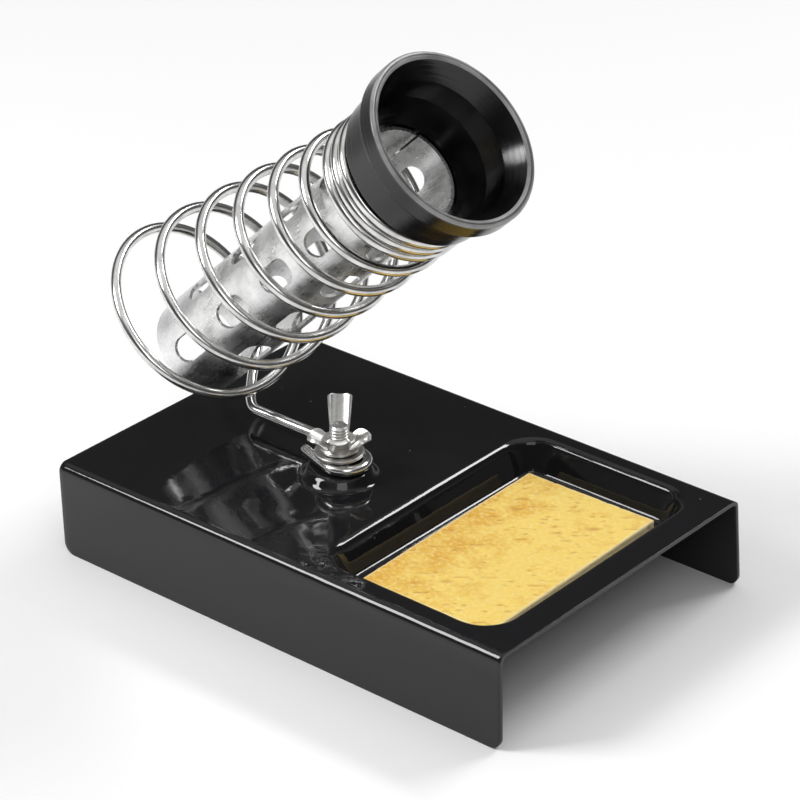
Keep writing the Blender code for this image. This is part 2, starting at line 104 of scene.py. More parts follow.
# Collar section, lip to neck and back up the inside: radius, depth behind the mouth, corner radius
COLLAR_SECTION = (
    (0.0204, 0.0000, 0.0001), (0.0208, 0.0000, 0), (0.0209, 0.00014, 0), (0.0210, 0.0000, 0),
    (0.0215, 0.0000, 0.0002), (0.0219, 0.0005, 0.0003), (0.0219, 0.0046, 0.0003),
    (0.0214, 0.0053, 0.0003), (0.0199, 0.0055, 0.0003), (0.0194, 0.0142, 0.0003),
    (0.0188, 0.0148, 0.0003), (0.0156, 0.0149, 0.0002), (0.0156, 0.0268, 0.0004),
    (0.0128, 0.0268, 0.0002), (0.0128, 0.0176, 0.0003), (0.0138, 0.0160, 0.0004),
    (0.0163, 0.0112, 0.0003), (0.0171, 0.0052, 0.0003), (0.0199, 0.0004, 0.0002),
)

# Wing nut: the hub's section (radius, height, corner radius), and its two kinds of tab
WING_HEADING = math.radians(-50.1)
HUB_SECTION = (
    (0.0025, 0.0000, 0), (0.0046, 0.0000, 0.0002), (0.0047, 0.0006, 0.0003),
    (0.0040, 0.0012, 0.0005), (0.0038, 0.0020, 0.0006), (0.0041, 0.0032, 0.0004),
    (0.0025, 0.0029, 0),
)
NUT_SHEET = 0.0010
WING = {
    "reach": (0.0036, 0.0122), "rise": 0.0072, "widths": (0.0040, 0.0054),
    "cup": (0.0008, 0.0012), "low": 0.0008, "corner": 0.0009}
EAR = {
    "reach": (0.0030, 0.0073), "rise": 0.0027, "widths": (0.0062, 0.0074),
    "cup": (0.0016, 0.0020), "low": 0.0006, "corner": 0.0028}

# Bolt
THREAD_CREST, THREAD_ROOT, THREAD_PITCH = 0.00233, 0.00196, 0.0008
TIP_CHAMFER = 0.0005
HEAD_RADIUS = 0.0046

# Sponge
SPONGE_SIZE, SPONGE_TURN = (0.0370, 0.0641, 0.0032), math.radians(1.1)
SPONGE_CELL, SPONGE_LAYERS = 0.00036, 9
SPONGE_FILLET = 0.0006
FIBRE_TURN = math.radians(-38.0)

# Studio
FLOOR_HALF = 4.0
WORLD_LEVELS = (
    (0.0, 0.45), (0.10, 0.20), (0.22, 0.075), (0.62, 0.07), (0.76, 0.52), (0.90, 0.86), (1.0, 0.86),
)
LIGHT_AIM = Vector((0.0, 0.0, 0.04))
LIGHTS = (
    ("left_box", (-0.50, -0.58, 0.64), 1.15, (0.36, 0.42), 17.5),
    ("back_box", (0.19, 0.69, 0.70), 1.15, (0.50, 0.16), 19.0),
    ("front_fill", (0.75, -0.62, 0.75), 1.3, (0.60, 0.60), 2.2),
)

# An edge past SMOOTH_ANGLE is shaded sharp, and one past EDGE_ANGLE is a cut edge
SMOOTH_ANGLE, EDGE_ANGLE = math.radians(38.0), math.radians(50.0)

# Camera
EYE = Vector((0.43382, -0.51043, 0.39773))
SIGHT = Vector((-0.567135, 0.678122, -0.467450))
LENS = 145.02


# --- meshes ---------------------------------------------------------------

def add_mesh(name, verts, faces, attributes=None):
    mesh = bpy.data.meshes.new(name)
    mesh.from_pydata([tuple(v) for v in verts], [], [tuple(f) for f in faces])
    for key, values in (attributes or {}).items():
        layer = mesh.attributes.new(key, "FLOAT", "POINT")
        layer.data.foreach_set("value", np.asarray(values, np.float32))
    mesh.update()
    obj = bpy.data.objects.new(name, mesh)
    bpy.context.scene.collection.objects.link(obj)
    return obj


def add_modifier(obj, kind, **settings):
    modifier = obj.modifiers.new(kind.title(), kind)
    for key, value in settings.items():
        setattr(modifier, key, value)
    return modifier


def bake(obj):
    """Applies the modifiers, then shades smooth except across sharp edges."""
    graph = bpy.context.evaluated_depsgraph_get()
    mesh = bpy.data.meshes.new_from_object(obj.evaluated_get(graph))
    obj.modifiers.clear()
    obj.data = mesh
    mesh.shade_smooth()
    mesh.set_sharp_from_angle(angle=SMOOTH_ANGLE)
    return obj


def join(name, objects):
    """One object of several, whose meshes are at rest in the frame."""
    bm = bmesh.new()
    for obj in objects:
        obj.data.transform(obj.matrix_world)
        bm.from_mesh(obj.data)
    mesh = bpy.data.meshes.new(name)
    bm.to_mesh(mesh)
    bm.free()
    for obj in objects:
        bpy.data.objects.remove(obj)
    joined = bpy.data.objects.new(name, mesh)
    bpy.context.scene.collection.objects.link(joined)
    mesh.shade_smooth()
    mesh.set_sharp_from_angle(angle=SMOOTH_ANGLE)
    return joined


def settle(obj, node, body, material):
    """Puts a finished piece in place of its CAD node."""
    obj.data.materials.clear()
    obj.data.materials.append(material)
    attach(obj, body)
    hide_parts(node)
    return obj


def stops(*marks):
    """Lines from mark to mark. Each mark is (place, spacing up to the next mark)."""
    lines = []
    for (start, step), (end, _) in zip(marks, marks[1:]):
        count = max(1, round((end - start) / step))
        lines += [start + (end - start) * i / count for i in range(count)]
    return np.array(lines + [marks[-1][0]])


def quads(rows, columns, wrap=False):
    """Faces of a grid of rows x columns points."""
    last = columns if wrap else columns - 1
    return [
        (r * columns + c, r * columns + (c + 1) % columns,
         (r + 1) * columns + (c + 1) % columns, (r + 1) * columns + c)
        for r in range(rows - 1) for c in range(last)
    ]


def cut_slots(flat, faces, centres, radius, half_run=0.0):
    """Opens round-ended slots in a grid. flat is each point's place on the flat sheet."""
    faces = np.array(faces)
    kept = np.ones(len(faces), bool)
    middles = flat[faces].mean(axis=1)
    for centre in centres:
        away = middles - centre
        away[:, 1] -= np.clip(away[:, 1], -half_run, half_run)
        near = np.hypot(away[:, 0], away[:, 1]) < radius
        kept &= ~near
        rim = np.intersect1d(faces[near], faces[~near])
        out = flat[rim] - centre
        run = np.clip(out[:, 1], -half_run, half_run)
        out[:, 1] -= run
        out *= radius / np.hypot(out[:, 0], out[:, 1])[:, None]
        out[:, 1] += run
        flat[rim] = centre + out
    return faces[kept]


def lathe(name, profile, segments, matrix=None, closed=False):
    """A profile of (radius, height) points turned about Z, with its length along the profile."""
    profile = np.array(profile, float)
    angles = np.linspace(0.0, 2 * math.pi, segments, endpoint=False)
    verts = np.array([
        (r * math.cos(a), r * math.sin(a), z) for r, z in profile for a in angles])
    run = np.concatenate([[0.0], np.cumsum(np.hypot(*np.diff(profile, axis=0).T))])
    faces = quads(len(profile), segments, wrap=True)
    if closed:
        base = (len(profile) - 1) * segments
        faces += [
            (base + c, base + (c + 1) % segments, (c + 1) % segments, c)
            for c in range(segments)
        ]
    else:
        faces += [tuple(reversed(range(segments)))]
        faces += [tuple(range((len(profile) - 1) * segments, len(profile) * segments))]
    obj = add_mesh(name, verts, faces, {"along": np.repeat(run, segments)})
    bm = bmesh.new()
    bm.from_mesh(obj.data)
    bmesh.ops.recalc_face_normals(bm, faces=bm.faces)
    bm.to_mesh(obj.data)
    bm.free()
    if matrix is not None:
        obj.data.transform(matrix)
    return obj


def rounded(corners, radii, closed=False, segments=4):
    """Points of a line whose corners are rounded, each by its own radius."""
    corners = [Vector(c) for c in corners]
    points = []
    for i, (corner, radius) in enumerate(zip(corners, radii)):
        ends = i in (0, len(corners) - 1) and not closed
        if ends or radius <= 0.0:
            points.append(corner)
            continue
        points += fillet(
            corners[i - 1], corner, corners[(i + 1) % len(corners)], radius, segments)
    return points


def fillet(before, corner, after, radius, segments):
    to_before = (before - corner).normalized()
    to_after = (after - corner).normalized()
    half = to_before.angle(to_after) / 2
    centre = corner + (to_before + to_after).normalized() * radius / math.sin(half)
    reach = radius / math.tan(half)
    first = corner + to_before * reach - centre
    last = corner + to_after * reach - centre
    return [
        centre + first.lerp(last, step / segments).normalized() * radius
        for step in range(segments + 1)
    ]


# --- materials ------------------------------------------------------------

class Shader:
    """A Principled material and short ways to add nodes to it."""

    def __init__(self, name, colour, roughness, metallic=0.0):
        self.material = bpy.data.materials.new(name)
        self.material.use_nodes = True
        self.tree = self.material.node_tree
        self.surface = self.tree.nodes["Principled BSDF"]
        self.set(self.surface, {
            "Base Color": (*colour, 1.0), "Roughness": roughness, "Metallic": metallic})
        self.material.diffuse_color = (*colour, 1.0)

    def set(self, node, values):
        for key, value in values.items():
            if isinstance(value, bpy.types.NodeSocket):
                self.tree.links.new(value, node.inputs[key])
            else:
                node.inputs[key].default_value = value

    def node(self, kind, values=None, **settings):
        made = self.tree.nodes.new("ShaderNode" + kind)
        for key, value in settings.items():
            setattr(made, key, value)
        self.set(made, values or {})
        return made

    def place(self):
        return self.node("TexCoord").outputs["Object"]

    def attribute(self, name):
        return self.node("Attribute", attribute_name=name).outputs["Fac"]

    def noise(self, where, scale, detail=3.0, rough=0.55):
        return self.node("TexNoise", {
            "Vector": where, "Scale": scale, "Detail": detail, "Roughness": rough,
        }).outputs["Fac"]

    def cells(self, where, scale, jitter=1.0):
        return self.node("TexVoronoi", {
            "Vector": where, "Scale": scale, "Randomness": jitter}).outputs["Distance"]

    def remap(self, value, low, high, to_low=0.0, to_high=1.0):
        return self.node("MapRange", {
            "Value": value, "From Min": low, "From Max": high,
            "To Min": to_low, "To Max": to_high}).outputs[0]

    def maths(self, operation, a, b):
        made = self.node("Math", operation=operation)
        self.set(made, {0: a, 1: b})
        return made.outputs[0]

    def mix(self, share, a, b):
        made = self.node("Mix", data_type="RGBA")
        self.set(made, {0: share})
        for slot, colour in ((6, a), (7, b)):
            if isinstance(colour, bpy.types.NodeSocket):
                self.tree.links.new(colour, made.inputs[slot])
            else:
                made.inputs[slot].default_value = (*colour, 1.0)
        return made.outputs[2]

    def bump(self, height, distance, strength=1.0, below=None):
        values = {"Height": height, "Distance": distance, "Strength": strength}
        if below is not None:
            values["Normal"] = below
        return self.node("Bump", values).outputs[0]

    def finish(self, **values):
        self.set(self.surface, {key.replace("_", " "): v for key, v in values.items()})
        return self.material


def black_enamel():
    """Thick gloss paint: faint orange peel, a few dust nibs, a soft film of handling."""
    s = Shader("black_enamel", (0.010, 0.010, 0.011), 0.07)
    where = s.place()
    film = s.remap(s.noise(where, 38.0, 4.0), 0.42, 0.70, 0.025, 0.085)
    nibs = s.remap(s.cells(where, 105.0), 0.0, 0.035, 1.0, 0.0)
    colour = s.mix(nibs, (0.010, 0.010, 0.011), (0.10, 0.10, 0.10))
    peel = s.bump(s.noise(where, 620.0, 2.0), 0.000012)
    slack = s.bump(s.noise(where, 85.0, 2.0), 0.00006, below=peel)
    lumps = s.bump(nibs, 0.00008, below=slack)
    return s.finish(Base_Color=colour, Roughness=film, Normal=lumps, IOR=1.43)


def bright_plate():
    """Plated spring wire: drawing marks along it, small pits and cloudy patches."""
    s = Shader("bright_plate", (0.78, 0.77, 0.75), 0.13, 1.0)
    along = s.node("CombineXYZ", {
        "X": s.maths("MULTIPLY", s.attribute("along"), 60.0),
        "Y": s.maths("MULTIPLY", s.attribute("around"), 2600.0)}).outputs[0]
    drawn = s.noise(along, 1.0, 2.0)
    cloud = s.noise(s.place(), 210.0, 4.0)
    colour = s.mix(s.remap(cloud, 0.35, 0.7), (0.80, 0.795, 0.785), (0.56, 0.555, 0.545))
    rough = s.maths(
        "ADD", s.remap(cloud, 0.3, 0.75, 0.10, 0.20), s.remap(drawn, 0.3, 0.7, 0.0, 0.07))
    pits = s.bump(s.remap(s.cells(s.place(), 620.0), 0.0, 0.16, 0.0, 1.0), 0.00001)
    lines = s.bump(drawn, 0.000012, below=pits)
    return s.finish(Base_Color=colour, Roughness=rough, Normal=lines)


def mottled_zinc():
    """Zinc-plated sheet: clouded plate, rolling marks along the tube, stray scratches."""
    s = Shader("mottled_zinc", (0.66, 0.66, 0.66), 0.25, 1.0)
    along = s.attribute("along")
    around = s.attribute("around")
    flat = s.node("CombineXYZ", {"X": along, "Y": around}).outputs[0]
    rolled = s.node("CombineXYZ", {
        "X": s.maths("MULTIPLY", along, 70.0), "Y": s.maths("MULTIPLY", around, 1500.0),
    }).outputs[0]
    cloud = s.noise(flat, 170.0, 5.0, 0.62)
    patch = s.noise(flat, 60.0, 3.0)
    lines = s.noise(rolled, 1.0, 3.0)
    mixed = s.maths("ADD", s.maths("MULTIPLY", cloud, 0.6), s.maths("MULTIPLY", patch, 0.4))
    colour = s.mix(s.remap(mixed, 0.38, 0.62), (0.62, 0.62, 0.62), (0.93, 0.93, 0.925))
    rough = s.maths(
        "ADD", s.remap(mixed, 0.35, 0.65, 0.16, 0.34), s.remap(lines, 0.3, 0.7, 0.0, 0.08))
    dents = s.bump(s.noise(flat, 130.0, 2.0), 0.00010)
    grain = s.bump(cloud, 0.00003, below=dents)
    scored = s.bump(lines, 0.00001, below=grain)
    return s.finish(Base_Color=colour, Roughness=rough, Normal=scored)


def turned_black():
    """Black finish turned on a lathe: fine rings that follow its profile, the lip painted pale,
    partly as paint rubbed thin and partly as a painted highlight.
    """
    s = Shader("turned_black", (0.014, 0.014, 0.015), 0.24)
    along = s.attribute("along")
    ring = s.node("CombineXYZ", {"X": s.maths("MULTIPLY", along, 4200.0)}).outputs[0]
    coarse = s.node("CombineXYZ", {"X": s.maths("MULTIPLY", along, 1300.0)}).outputs[0]
    fine, wide = s.noise(ring, 1.0, 2.0), s.noise(coarse, 1.0, 2.0)
    cloud = s.noise(s.place(), 120.0, 4.0)
    colour = s.mix(s.remap(cloud, 0.4, 0.7), (0.003, 0.003, 0.0035), (0.009, 0.009, 0.009))
    # Painted highlight: the lip is mixed towards pale grey, partly rubbed paint and partly the
    # lip's highlight painted in
    wear_and_highlight = s.maths("MULTIPLY", s.attribute("lip"), s.remap(cloud, 0.25, 0.65, 0.45, 1.0))
    colour = s.mix(wear_and_highlight, colour, (0.34, 0.34, 0.34))
    rough = s.maths(
        "ADD", s.remap(cloud, 0.3, 0.7, 0.10, 0.20), s.remap(wide, 0.35, 0.65, 0.0, 0.06))
    cut = s.bump(fine, 0.000016)
    feed = s.bump(wide, 0.00003, below=cut)
    return s.finish(Base_Color=colour, Roughness=rough, Normal=feed, IOR=1.50)


def zinc_hardware():
    """Small pressed and turned parts in bright zinc: fine grain and soft wear."""
    s = Shader("zinc_hardware", (0.70, 0.69, 0.67), 0.2, 1.0)
    cloud = s.noise(s.place(), 420.0, 4.0)
    colour = s.mix(s.remap(cloud, 0.35, 0.7), (0.74, 0.735, 0.72), (0.46, 0.455, 0.44))
    rough = s.remap(cloud, 0.3, 0.7, 0.28, 0.44)
    grain = s.bump(s.noise(s.place(), 1500.0, 3.0), 0.00002)
    return s.finish(Base_Color=colour, Roughness=rough, Normal=grain)


def cellulose():
    """Dry cellulose: golden, its cut edges and side faces paler, partly lighter fibre and partly
    painted light on their shaded sides, and the pores darkened to ochre as painted shade.
    """
    s = Shader("cellulose", (0.92, 0.66, 0.18), 0.9)
    where = s.place()
    tone = s.noise(where, 160.0, 5.0)
    speck = s.noise(where, 900.0, 3.0)
    stained = s.maths("ADD", s.attribute("stain"), s.remap(tone, 0.35, 0.65, -0.42, 0.42))
    body = s.mix(s.remap(stained, 0.1, 0.9), (0.87, 0.615, 0.120), (0.72, 0.38, 0.022))
    body = s.mix(s.remap(speck, 0.46, 0.66, 0.0, 0.6), body, (0.90, 0.71, 0.25))
    # Painted shade: the pore mask darkens the pores to dark ochre
    body = s.mix(s.attribute("pore_shade"), body, (0.50, 0.22, 0.012))
    # Paler edges and side faces: partly lighter cut fibre, partly painted light that lifts their
    # shade
    body = s.mix(s.attribute("edge"), body, (0.90, 0.80, 0.52))
    grain = s.bump(s.noise(where, 1600.0, 4.0, 0.7), 0.00016)
    s.set(s.surface, {"Sheen Weight": 0.25, "Subsurface Weight": 0.12})
    s.set(s.surface, {"Subsurface Radius": (0.0012, 0.0009, 0.0004)})
    return s.finish(Base_Color=body, Normal=grain)


def pale_floor():
    return Shader("pale_floor", (0.95, 0.95, 0.95), 0.6).finish()


# --- base -----------------------------------------------------------------

def ramp(d, rise, run, first, last):
    """Height of a pressed wall at a distance in from its edge, with both ends filleted."""
    slope = math.atan2(rise, run)
    start, end = first * math.tan(slope / 2), last * math.tan(slope / 2)
    height = np.clip(d / run, 0.0, 1.0) * rise
    in_first = (d > -start) & (d < start * math.cos(slope))
    height = np.where(
        in_first, first - np.sqrt(np.maximum(first**2 - (d + start) ** 2, 0.0)), height)
    in_last = (d > run - end * math.cos(slope)) & (d < run + end)
    return np.where(
        in_last, rise - last + np.sqrt(np.maximum(last**2 - (run + end - d) ** 2, 0.0)), height)


def inside_tray(x, y):
    """Distance in from the tray's rim, a rectangle with round corners."""
    px = np.abs(x - sum(TRAY_X) / 2) - ((TRAY_X[1] - TRAY_X[0]) / 2 - TRAY_CORNER)
    py = np.abs(y - sum(TRAY_Y) / 2) - ((TRAY_Y[1] - TRAY_Y[0]) / 2 - TRAY_CORNER)
    away = np.hypot(np.maximum(px, 0), np.maximum(py, 0)) + np.minimum(np.maximum(px, py), 0)
    return TRAY_CORNER - away


def field(points, scale, seed=0.0):
    """Smooth noise between about -1 and 1 at each point."""
    offset = Vector((seed, seed * 1.7, seed * 0.6))
    return np.array([noise.noise(Vector(p) * scale + offset) for p in points])


def out_of_flat(x, y, z, from_bolt, top):
    """The sheet's slack, and how far its top face strays in all: slack, strain and ripples."""
    points = np.stack([x, y, z], axis=1)
    fixed = np.clip((from_bolt - BOSS_FOOT) / 0.010, 0.0, 1.0) * np.clip(z / 0.010, 0.0, 1.0)
    slack = field(points, 28.0, 3.0) * SLACK * fixed
    # tight ripples along the strip in front of the tray, and tighter ones at its left corner
    strip = np.exp(-(((y - TRAY_Y[0] + 0.0016) / 0.0044) ** 2)) * np.exp(
        -(np.clip((TRAY_X[0] + 0.004 - x) / 0.004, 0, None) ** 2)) * (z > TOP - 0.0035)
    corner = np.exp(-(((x - TRAY_X[0] - 0.0015) / 0.0040) ** 2 + ((y - TRAY_Y[0]) / 0.0036) ** 2))
    ripple = field(points, 210.0, 7.0) * STRIP_RIPPLE * strip
    ripple += field(points, 430.0, 11.0) * CORNER_RIPPLE * corner * (z > TOP - 0.0065)
    # strain between the tray's left corner and the boss
    away = np.hypot((x - TRAY_X[0] + 0.011) / 0.017, (y - TRAY_Y[0] - 0.006) / 0.012)
    strain = field(points, 95.0, 19.0) * STRAIN * np.exp(-away**2) * fixed
    return slack, slack + ripple + np.where(top, strain, 0.0)


def base_rows():
    """(y, z) across the folded sheet from the front foot to the back one, and which lie on top."""
    corners = [
        Vector((FRONT + FRONT_TUCK, 0.0)), Vector((FRONT, TOP)),
        Vector((BACK, TOP)), Vector((BACK + BACK_SPLAY, 0.0)),
    ]
    bends = [fillet(corners[i - 1], corners[i], corners[i + 1], BEND_RADIUS, 10) for i in (1, 2)]
    low = [FLANGE_CORNER * (1 - math.cos(math.radians(90 * i / 8))) for i in range(9)]
    levels = low + list(stops((FLANGE_CORNER, 0.0016), (TOP - BEND_RADIUS, 0.0))[1:-1])
    front = [corners[0].lerp(corners[1], z / TOP) for z in levels]
    back = [corners[3].lerp(corners[2], z / TOP) for z in levels]
    across = stops(
        (bends[0][-1].x, 0.0004), (TRAY_Y[0] - WALL_OUT, WALL_CELL), (TRAY_Y[0] + WALL_IN, 0.0010),
        (BOLT.y - BOSS_ZONE, BOSS_CELL), (BOLT.y + BOSS_ZONE, 0.0012),
        (TRAY_Y[1] - WALL_IN, WALL_CELL), (TRAY_Y[1] + WALL_OUT, 0.0006), (bends[1][0].x, 0.0))
    top = [Vector((y, TOP)) for y in across[1:-1]]
    rows = front + bends[0] + top + bends[1] + back[::-1]
    on_top = np.zeros(len(rows), bool)
    start = len(front) + len(bends[0]) - 1
    on_top[start:start + len(top) + 2] = True
    return np.array([tuple(r) for r in rows]), on_top


def build_base(material):
    rows, on_top = base_rows()
    xs = stops(
        (LEFT, 0.0015), (BOLT.x - BOSS_ZONE, BOSS_CELL), (BOLT.x + BOSS_ZONE, 0.0010),
        (TRAY_X[0] - WALL_OUT, WALL_CELL), (TRAY_X[0] + WALL_IN, 0.0012),
        (TRAY_X[1] - WALL_IN, WALL_CELL), (TRAY_X[1] + WALL_OUT, 0.0008), (RIGHT, 0.0))
    count = len(xs)
    x = np.tile(xs, len(rows))
    y, z = np.repeat(rows[:, 0], count), np.repeat(rows[:, 1], count)
    top = np.repeat(on_top, count)

    # round the lower corners of both flanges, easing the grid's lines into them
    low = np.clip(FLANGE_CORNER - z, 0.0, FLANGE_CORNER)
    inset = FLANGE_CORNER - np.sqrt(FLANGE_CORNER**2 - low**2)
    reach = 0.008
    x = np.where(x < LEFT + reach, LEFT + inset + (x - LEFT) * (reach - inset) / reach, x)
    x = np.where(x > RIGHT - reach, RIGHT - inset - (RIGHT - x) * (reach - inset) / reach, x)

    from_bolt = np.hypot(x - BOLT.x, y - BOLT.y)
    flat = np.stack([x, y], axis=1)
    faces = np.array(quads(len(rows), count))
    on_plate = top[faces].all(axis=1)
    kept = cut_slots(flat, faces[on_plate], [np.array([BOLT.x, BOLT.y])], BOLT_HOLE)
    faces = np.concatenate([faces[~on_plate], kept])
    x, y = flat[:, 0], flat[:, 1]

    press = ramp(inside_tray(x, y), TRAY_DEPTH, TRAY_INSET, RIM_FILLET, FLOOR_FILLET)
    dome = ramp(
        BOSS_FOOT - from_bolt, BOSS_HEIGHT, BOSS_FOOT - BOSS_TOP, BOSS_FOOT_FILLET, BOSS_TOP_FILLET)
    z = z + np.where(top, dome - press, 0.0)

    slack, stray = out_of_flat(x, y, z, from_bolt, top)
    under_tray = TOP - TRAY_DEPTH - SHEET
    z = z + np.where(z > under_tray, stray, 0.0)
    on_flange = np.abs(y - sum(rows[[0, -1], 0]) / 2) > 0.03
    y = y + np.where(z < under_tray, slack, 0.0) * on_flange

    base = add_mesh("base_sheet", np.stack([x, y, z], axis=1), faces)
    side = base.data.polygons[len(base.data.polygons) - 1]
    if side.normal.z < 0:
        base.data.flip_normals()
    add_modifier(base, "SOLIDIFY", thickness=SHEET, offset=-1.0)
    add_modifier(
        base, "BEVEL", width=SHEET_BURR, segments=2, limit_method="ANGLE",
        angle_limit=EDGE_ANGLE)
    bake(base)
    return settle(base, "base_plate", "base", material)


# --- holder ---------------------------------------------------------------

def holder_matrix(depth=0.0):
    """A frame on the holder's axis, +Z out of the collar's mouth, this far behind it."""
    turn = Matrix.Rotation(math.pi / 2 - HOLDER_TILT, 4, "Y")
    return Matrix.Translation(MOUTH) @ turn @ Matrix.Translation((0.0, 0.0, -depth))


def in_plane(angle):
    return Vector((math.cos(angle), 0.0, math.sin(angle)))


def ease(value, low, high):
    t = min(max((value - low) / (high - low), 0.0), 1.0)
    return t * t * (3.0 - 2.0 * t)


def coil_points(first, last, per_turn):
    """Points along the coil. A turn number counts from the first turn's near side."""
    step = 1.0 / 192

    def pitch(turn):
        close = ease(turn, COIL_OPEN_TURNS - 0.35, COIL_OPEN_TURNS + 0.15)
        return (COIL_PITCH - COIL_PITCH_DROP * turn) * (1 - close) + CLOSE_PITCH * close

    def line(turn):
        return COIL_LINE + (HOLDER_TILT - COIL_LINE) * ease(turn, 5.6, 6.2)

    middle = MOUTH - in_plane(HOLDER_TILT) * CLOSE_START
    track = [(COIL_OPEN_TURNS, middle.copy())]
    low, point = COIL_OPEN_TURNS, middle.copy()
    while low > first - step:
        point = point - in_plane(line(low)) * pitch(low) * step
        low -= step
        track.insert(0, (low, point.copy()))
    high, point = COIL_OPEN_TURNS, middle.copy()
    while high < last + step:
        point = point + in_plane(line(high)) * pitch(high) * step
        high += step
        track.append((high, point.copy()))

    points = []
    count = round((last - first) * per_turn)
    for index in range(count + 1):
        turn = first + (last - first) * index / count
        near = min(int((turn - track[0][0]) / step), len(track) - 2)
        share = (turn - track[near][0]) / (track[near + 1][0] - track[near][0])
        centre = track[near][1].lerp(track[near + 1][1], share)
        face = COIL_FACE + (HOLDER_TILT - COIL_FACE) * ease(turn, 5.0, 6.0)
        eased = min(turn, 6.5)
        radius = COIL_RADIUS - COIL_TAPER * eased + COIL_TAPER_EASE * eased * eased
        angle = COIL_PHASE + 2 * math.pi * turn
        side, rise = Vector((0.0, 1.0, 0.0)), in_plane(face + math.pi / 2)
        points.append(centre + (side * math.cos(angle) + rise * math.sin(angle)) * radius)
    return points


def wire_points():
    level = TOP + BOSS_HEIGHT + CLEARANCE + WIRE_RADIUS
    centre = Vector((*EYE_CENTRE, level))
    heading = math.pi / 2 - EYE_WRAP
    arc = [
        centre + EYE_RADIUS * Vector((math.cos(a), math.sin(a), 0.0))
        for a in (heading + EYE_WRAP * i / 48 for i in range(49))
    ]
    back = Vector((math.sin(heading), -math.cos(heading), 0.0))
    tail = [arc[0] + back * TAIL_LENGTH * (1 - i / 8) for i in range(8)]
    run = EYE_CENTRE[0] - ARM_END
    arm = [
        Vector((EYE_CENTRE[0] - run * i / 16, EYE_CENTRE[1] + EYE_RADIUS, level))
        for i in range(1, 17)
    ]
    coil = coil_points(COIL_START, COIL_END, 84)
    start, end = arm[-1], coil[0]
    away = Vector((-1.0, 0.0, 0.0)) * 0.016
    into = (coil[1] - coil[0]).normalized() * 0.018
    rise = []
    for i in range(1, 36):
        t = i / 36
        rise.append(
            start * (2 * t**3 - 3 * t**2 + 1) + away * (t**3 - 2 * t**2 + t)
            + end * (3 * t**2 - 2 * t**3) + into * (t**3 - t**2))
    return tail + arc + arm + rise + coil


def sweep(name, points, radius, sides):
    """A round wire along the points, its cut ends slightly chamfered."""
    points = [Vector(p) for p in points]
    tangents = [
        (points[min(i + 1, len(points) - 1)] - points[max(i - 1, 0)]).normalized()
        for i in range(len(points))
    ]
    side = tangents[0].orthogonal().normalized()
    chamfer = radius * 0.14
    stations, length = [], 0.0
    for i, (point, tangent) in enumerate(zip(points, tangents)):
        if i:
            length += (point - points[i - 1]).length
            side = (side - tangent * side.dot(tangent)).normalized()
        if i == 0:
            stations.append((point, tangent, side.copy(), length, radius - chamfer))
            stations.append((point + tangent * chamfer, tangent, side.copy(), length, radius))
        elif i == len(points) - 1:
            stations.append((point - tangent * chamfer, tangent, side.copy(), length, radius))
            stations.append((point, tangent, side.copy(), length, radius - chamfer))
        else:
            stations.append((point, tangent, side.copy(), length, radius))
    verts, along, around = [], [], []
    for point, tangent, out, length, r in stations:
        across = tangent.cross(out)
        for k in range(sides):
            a = 2 * math.pi * k / sides
            verts.append(point + (out * math.cos(a) + across * math.sin(a)) * r)
            along.append(length)
            around.append(radius * abs(a - math.pi))
    faces = quads(len(stations), sides, wrap=True)
    last = (len(stations) - 1) * sides
    faces += [tuple(reversed(range(sides))), tuple(range(last, last + sides))]
    return add_mesh(name, verts, faces, {"along": along, "around": around})


def build_wire(material):
    wire = sweep("holder_coil", wire_points(), WIRE_RADIUS, 22)
    wire.data.shade_smooth()
    wire.data.set_sharp_from_angle(angle=EDGE_ANGLE)
    return settle(wire, "holder_wire", "holder", material)


def build_tube(material):
    """Rolled from a flat sheet: around it runs from the butt seam, along it from the far end."""
    width = 2 * math.pi * TUBE_RADIUS - TUBE_SEAM_GAP
    columns, rows = 172, 206
    u = np.tile(np.linspace(0.0, width, columns), rows)
    v = np.repeat(np.linspace(0.0, TUBE_LENGTH, rows), columns)
    flat = np.stack([u, v], axis=1)
    centres = []
    for row in range(SLOT_ROWS):
        turned = SLOT_TURN + 2 * math.pi * row / SLOT_ROWS - TUBE_SEAM
        at = (turned % (2 * math.pi)) * TUBE_RADIUS - TUBE_SEAM_GAP / 2
        for slot in range(SLOTS_PER_ROW):
            centres.append(np.array([at, SLOT_FIRST + SLOT_PITCH * (slot + 0.5 * (row % 2))]))
    faces = cut_slots(
        flat, quads(rows, columns), centres, SLOT_WIDTH / 2, (SLOT_LENGTH - SLOT_WIDTH) / 2)
    u, v = flat[:, 0], flat[:, 1]
    angle = TUBE_SEAM + (u + TUBE_SEAM_GAP / 2) / TUBE_RADIUS
    wobble = np.array([
        noise.noise(Vector((a * 95.0, b * 60.0, 2.0))) * 0.00005
        + noise.noise(Vector((a * 260.0, b * 160.0, 8.0))) * 0.000022
        for a, b in zip(u, v)
    ])
    out = TUBE_RADIUS - 0.00005 + wobble
    verts = np.stack([out * np.cos(angle), out * np.sin(angle), v], axis=1)
    tube = add_mesh("guard_sleeve", verts, faces, {"along": v, "around": u})
    if tube.data.polygons[0].normal.dot(tube.data.polygons[0].center * Vector((1, 1, 0))) < 0:
        tube.data.flip_normals()
    add_modifier(tube, "SOLIDIFY", thickness=TUBE_SHEET, offset=-1.0)
    add_modifier(
        tube, "BEVEL", width=0.00009, segments=1, limit_method="ANGLE",
        angle_limit=EDGE_ANGLE)
    bake(tube)
    tube.data.transform(holder_matrix(TUBE_NEAR + TUBE_LENGTH))
    return settle(tube, "guard_tube", "holder", material)


